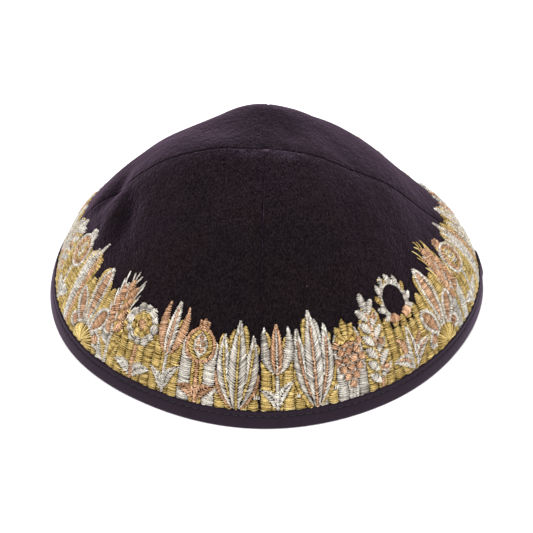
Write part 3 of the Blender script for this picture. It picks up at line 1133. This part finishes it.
G, S, C = "gold", "silver", "copper"
GG, SG, GS, CG, GC = (G,), (S, G), (G, G, S), (G, C), (G, G, C)
LAYOUTS = {
    "front_left": [
        ("branch", 14.0, 38, (S, C, C), GG, 5),
        ("fruit", 16.5, 43, (C, S, G, S, S), GG, 4),
        ("reeds", 11.5, 46, (S, C), GG, 6),
        ("fan", 20.0, 41, (S, C, G), GG, 4),
        ("wheat", 10.5, 43, (C, S, G), SG, 5),
        ("rosette", 17.0, 38, (G, S, C), GG, 6),
        ("tulip", 12.5, 44, (C, S, S), GG, 3),
        ("fruit", 15.0, 40, (G, C, S, C, C), SG, 5),
        ("spray", 17.0, 42, (S, C, G), GG, 4),
    ],
    "front_right": [
        ("tulip", 13.0, 41, (S, C, S), GG, 5),
        ("spray", 17.0, 45, (S, G, C), GS, 4),
        ("grapes", 13.0, 38, (C, G, S), (S,), 6),
        ("branch", 12.0, 45, (S, C, C), GG, 5),
        ("wreath", 22.0, 46, (S, G, C), GG, 4),
        ("fan", 19.0, 41, (S, C, G), GG, 5),
        ("wheat", 10.5, 44, (C, G, S), (S,), 6),
        ("fruit", 16.0, 41, (C, S, G, C, S), GG, 4),
        ("reeds", 12.5, 43, (S, C), GG, 5),
    ],
    "back_left": [
        ("fan", 19.0, 41, (S, C, G), GG, 4),
        ("wheat", 10.5, 42, (G, S, S), (S,), 5),
        ("fruit", 15.0, 41, (G, S, C, C, G), GG, 4),
        ("spray", 15.0, 38, (S, G, C), GS, 5),
        ("rosette", 15.0, 33, (S, C, G), GG, 4),
        ("grapes", 12.0, 29, (C, S, S), GG, 5),
        ("fan", 18.0, 26, (S, G, C), SG, 4),
        ("tulip", 11.0, 30, (C, S, S), GG, 6),
        ("spray", 18.0, 34, (S, C, G), GG, 4),
    ],
    "back_right": [
        ("spray", 17.0, 40, (S, C, G), GG, 5),
        ("tulip", 12.0, 35, (C, S, S), GG, 4),
        ("rosette", 15.0, 31, (G, S, C), SG, 5),
        ("fan", 18.0, 31, (S, G, C), (S,), 4),
        ("reeds", 11.5, 39, (S, C), GG, 6),
        ("fruit", 16.0, 41, (C, S, G, C, S), GG, 4),
        ("wheat", 10.5, 43, (G, C, S), (S,), 5),
        ("fan", 19.0, 40, (S, C, G), GG, 4),
        ("grapes", 13.0, 41, (C, S, S), GG, 5),
    ],
}

VINES = {
    "front_left": [(44, 63, 15.5, S, 1.8), (120, 137.6, 13.2, S, 2.0), (120, 137.6, 21.5, S, 1.8)],
    "front_right": [(14.4, 31.2, 12.8, S, 2.0), (14.4, 31.2, 21.2, C, 1.8), (80.5, 99, 14.5, S, 1.8)],
    "back_left": [(1, 19, 15.5, S, 1.8), (45.5, 60, 13.0, S, 2.0), (118, 137, 14.0, S, 2.0)],
    "back_right": [(1, 17, 14.0, S, 2.0), (46, 63, 12.5, G, 1.8), (104, 122, 15.0, S, 1.8)],
}


# ---------------------------------------------------------------------------
# From the drawings to strands on the cloth
# ---------------------------------------------------------------------------
GRID = 0.5


def cloth_grid(start):
    u = np.arange(0, QUARTER + 0.01, GRID)
    v = np.arange(6.0, 54.01, GRID)
    turns = start + 90 * u / QUARTER
    turns = np.clip(turns, start + 0.02, start + 89.98)
    _, rise = upright_table(turns)
    down = np.array([np.interp(v, rise[k], TABLE_DOWN) for k in range(len(turns))])
    p = outer_face(np.broadcast_to(turns[:, None], down.shape), down)
    du, dv = np.gradient(p, axis=0), np.gradient(p, axis=1)
    return p, unit(np.cross(du, dv))


def on_cloth(grid, uv):
    p, n = grid
    x = np.clip(uv[..., 0] / GRID, 0, p.shape[0] - 1.001)
    y = np.clip((uv[..., 1] - 6.0) / GRID, 0, p.shape[1] - 1.001)
    i, j = x.astype(int), y.astype(int)
    fx, fy = (x - i)[..., None], (y - j)[..., None]

    def mix(g):
        return (g[i, j] * (1 - fx) + g[i + 1, j] * fx) * (1 - fy) + (g[i, j + 1] * (1 - fx) + g[i + 1, j + 1] * fx) * fy

    return mix(p), unit(mix(n))


COLOURS = {"gold": GOLD, "silver": SILVER, "copper": COPPER}
STEPS = ((0.0, 2.2, np.array([0, 0.28, 0.72, 1.0])), (2.2, 5.0, np.array([0, 0.14, 0.5, 0.86, 1.0])),
         (5.0, 99.0, np.array([0, 0.09, 0.34, 0.66, 0.91, 1.0])))


def sew(side_name, start):
    grid = cloth_grid(start)
    rng = np.random.default_rng(100 + start)
    drawing = Drawing()
    drawing.compose(LAYOUTS[side_name], VINES[side_name])
    for colour, (a, b, high, curve, shade) in drawing.stitches(rng).items():
        length = np.hypot(*(b - a).T)
        groups = []
        for least, most, t in STEPS:
            pick = (length >= least) & (length < most)
            if not pick.any():
                continue
            aa, bb, hh, cc, ll, sh = a[pick], b[pick], high[pick], curve[pick], length[pick], shade[pick]
            n = len(aa)
            p, nrm = on_cloth(grid, aa[:, None] + (bb - aa)[:, None] * t[None, :, None])
            arch = 1 - np.abs(2 * t - 1)[None, :] ** cc[:, None]
            lift = 1.2 * hh * rng.normal(1.0, 0.05, n) * np.minimum(1, 0.4 + ll / 4.0)
            rise = arch * lift[:, None]
            rise[:, 0] = rise[:, -1] = -0.16
            p = p + nrm * rise[..., None]
            tangent = unit(np.gradient(p, axis=1))
            side = unit(np.cross(tangent, nrm))
            up = unit(np.cross(side, tangent))
            tone = (rng.normal(0.5, 0.22, n) + sh).clip(0, 1)
            groups.append((p, side, up, rng.normal(0.455, 0.04, n).clip(0.35, 0.58), rng.normal(0.23, 0.03, n).clip(0.16, 0.3), tone, ll))
        path, sideways, up, width, thick, tone, long = (list(x) for x in zip(*groups))
        obj = strands(f"{colour}_stitches_{side_name}", path, sideways, up, width, thick, tone, COLOURS[colour], long)
        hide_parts(f"embroidery_{side_name}")


for side_name, start in PANELS.items():
    sew(side_name, start)

# ---------------------------------------------------------------------------
# Floor, light and camera
# ---------------------------------------------------------------------------
scene = bpy.context.scene
floor = make_mesh("floor", [(-4000, -4000, 0), (4000, -4000, 0), (4000, 4000, 0), (-4000, 4000, 0)], [np.array([[0, 1, 2, 3]])], floor_material(), False)

world = bpy.data.worlds.new("studio")
scene.world = world
world.use_nodes = True
world.node_tree.nodes["Background"].inputs["Color"].default_value = (1.0, 1.0, 1.0, 1)
world.node_tree.nodes["Background"].inputs["Strength"].default_value = 0.60


def area_light(name, place, target, size, power, colour=(1, 1, 1)):
    data = bpy.data.lights.new(name, "AREA")
    data.shape = "DISK"
    data.size = size
    data.energy = power
    data.color = colour
    obj = bpy.data.objects.new(name, data)
    scene.collection.objects.link(obj)
    obj.location = place
    obj.rotation_mode = "QUATERNION"
    obj.rotation_quaternion = (Vector(target) - Vector(place)).to_track_quat("-Z", "Y")


area_light("overhead", (0.0, 0.15, 1.15), (0, 0, 0), 0.8, 13.0)
area_light("front_left", (-0.65, -0.85, 0.80), (0, 0, 0.03), 0.32, 9.5)
area_light("front_right", (0.85, -0.60, 0.65), (0, 0, 0.03), 0.32, 6.0)

camera_data = bpy.data.cameras.new("camera")
camera = bpy.data.objects.new("camera", camera_data)
scene.collection.objects.link(camera)
ELEVATION, AZIMUTH, DISTANCE = 38.6, 1.5, 0.700
camera_data.sensor_width = 36
camera_data.lens = 1716.4 / 533 * 36
e, a = ELEVATION * DEG, AZIMUTH * DEG
back = Vector((math.sin(a) * math.cos(e), -math.cos(a) * math.cos(e), math.sin(e)))
right = Vector((math.cos(a), math.sin(a), 0))
target = Vector((CENTRE[0] * MM, CENTRE[1] * MM, 6.64 * MM)) + right * 0.34 * MM
camera.location = target + back * DISTANCE
camera.rotation_mode = "QUATERNION"
camera.rotation_quaternion = (-back).to_track_quat("-Z", "Y")
scene.camera = camera
scene.view_settings.view_transform = "Standard"
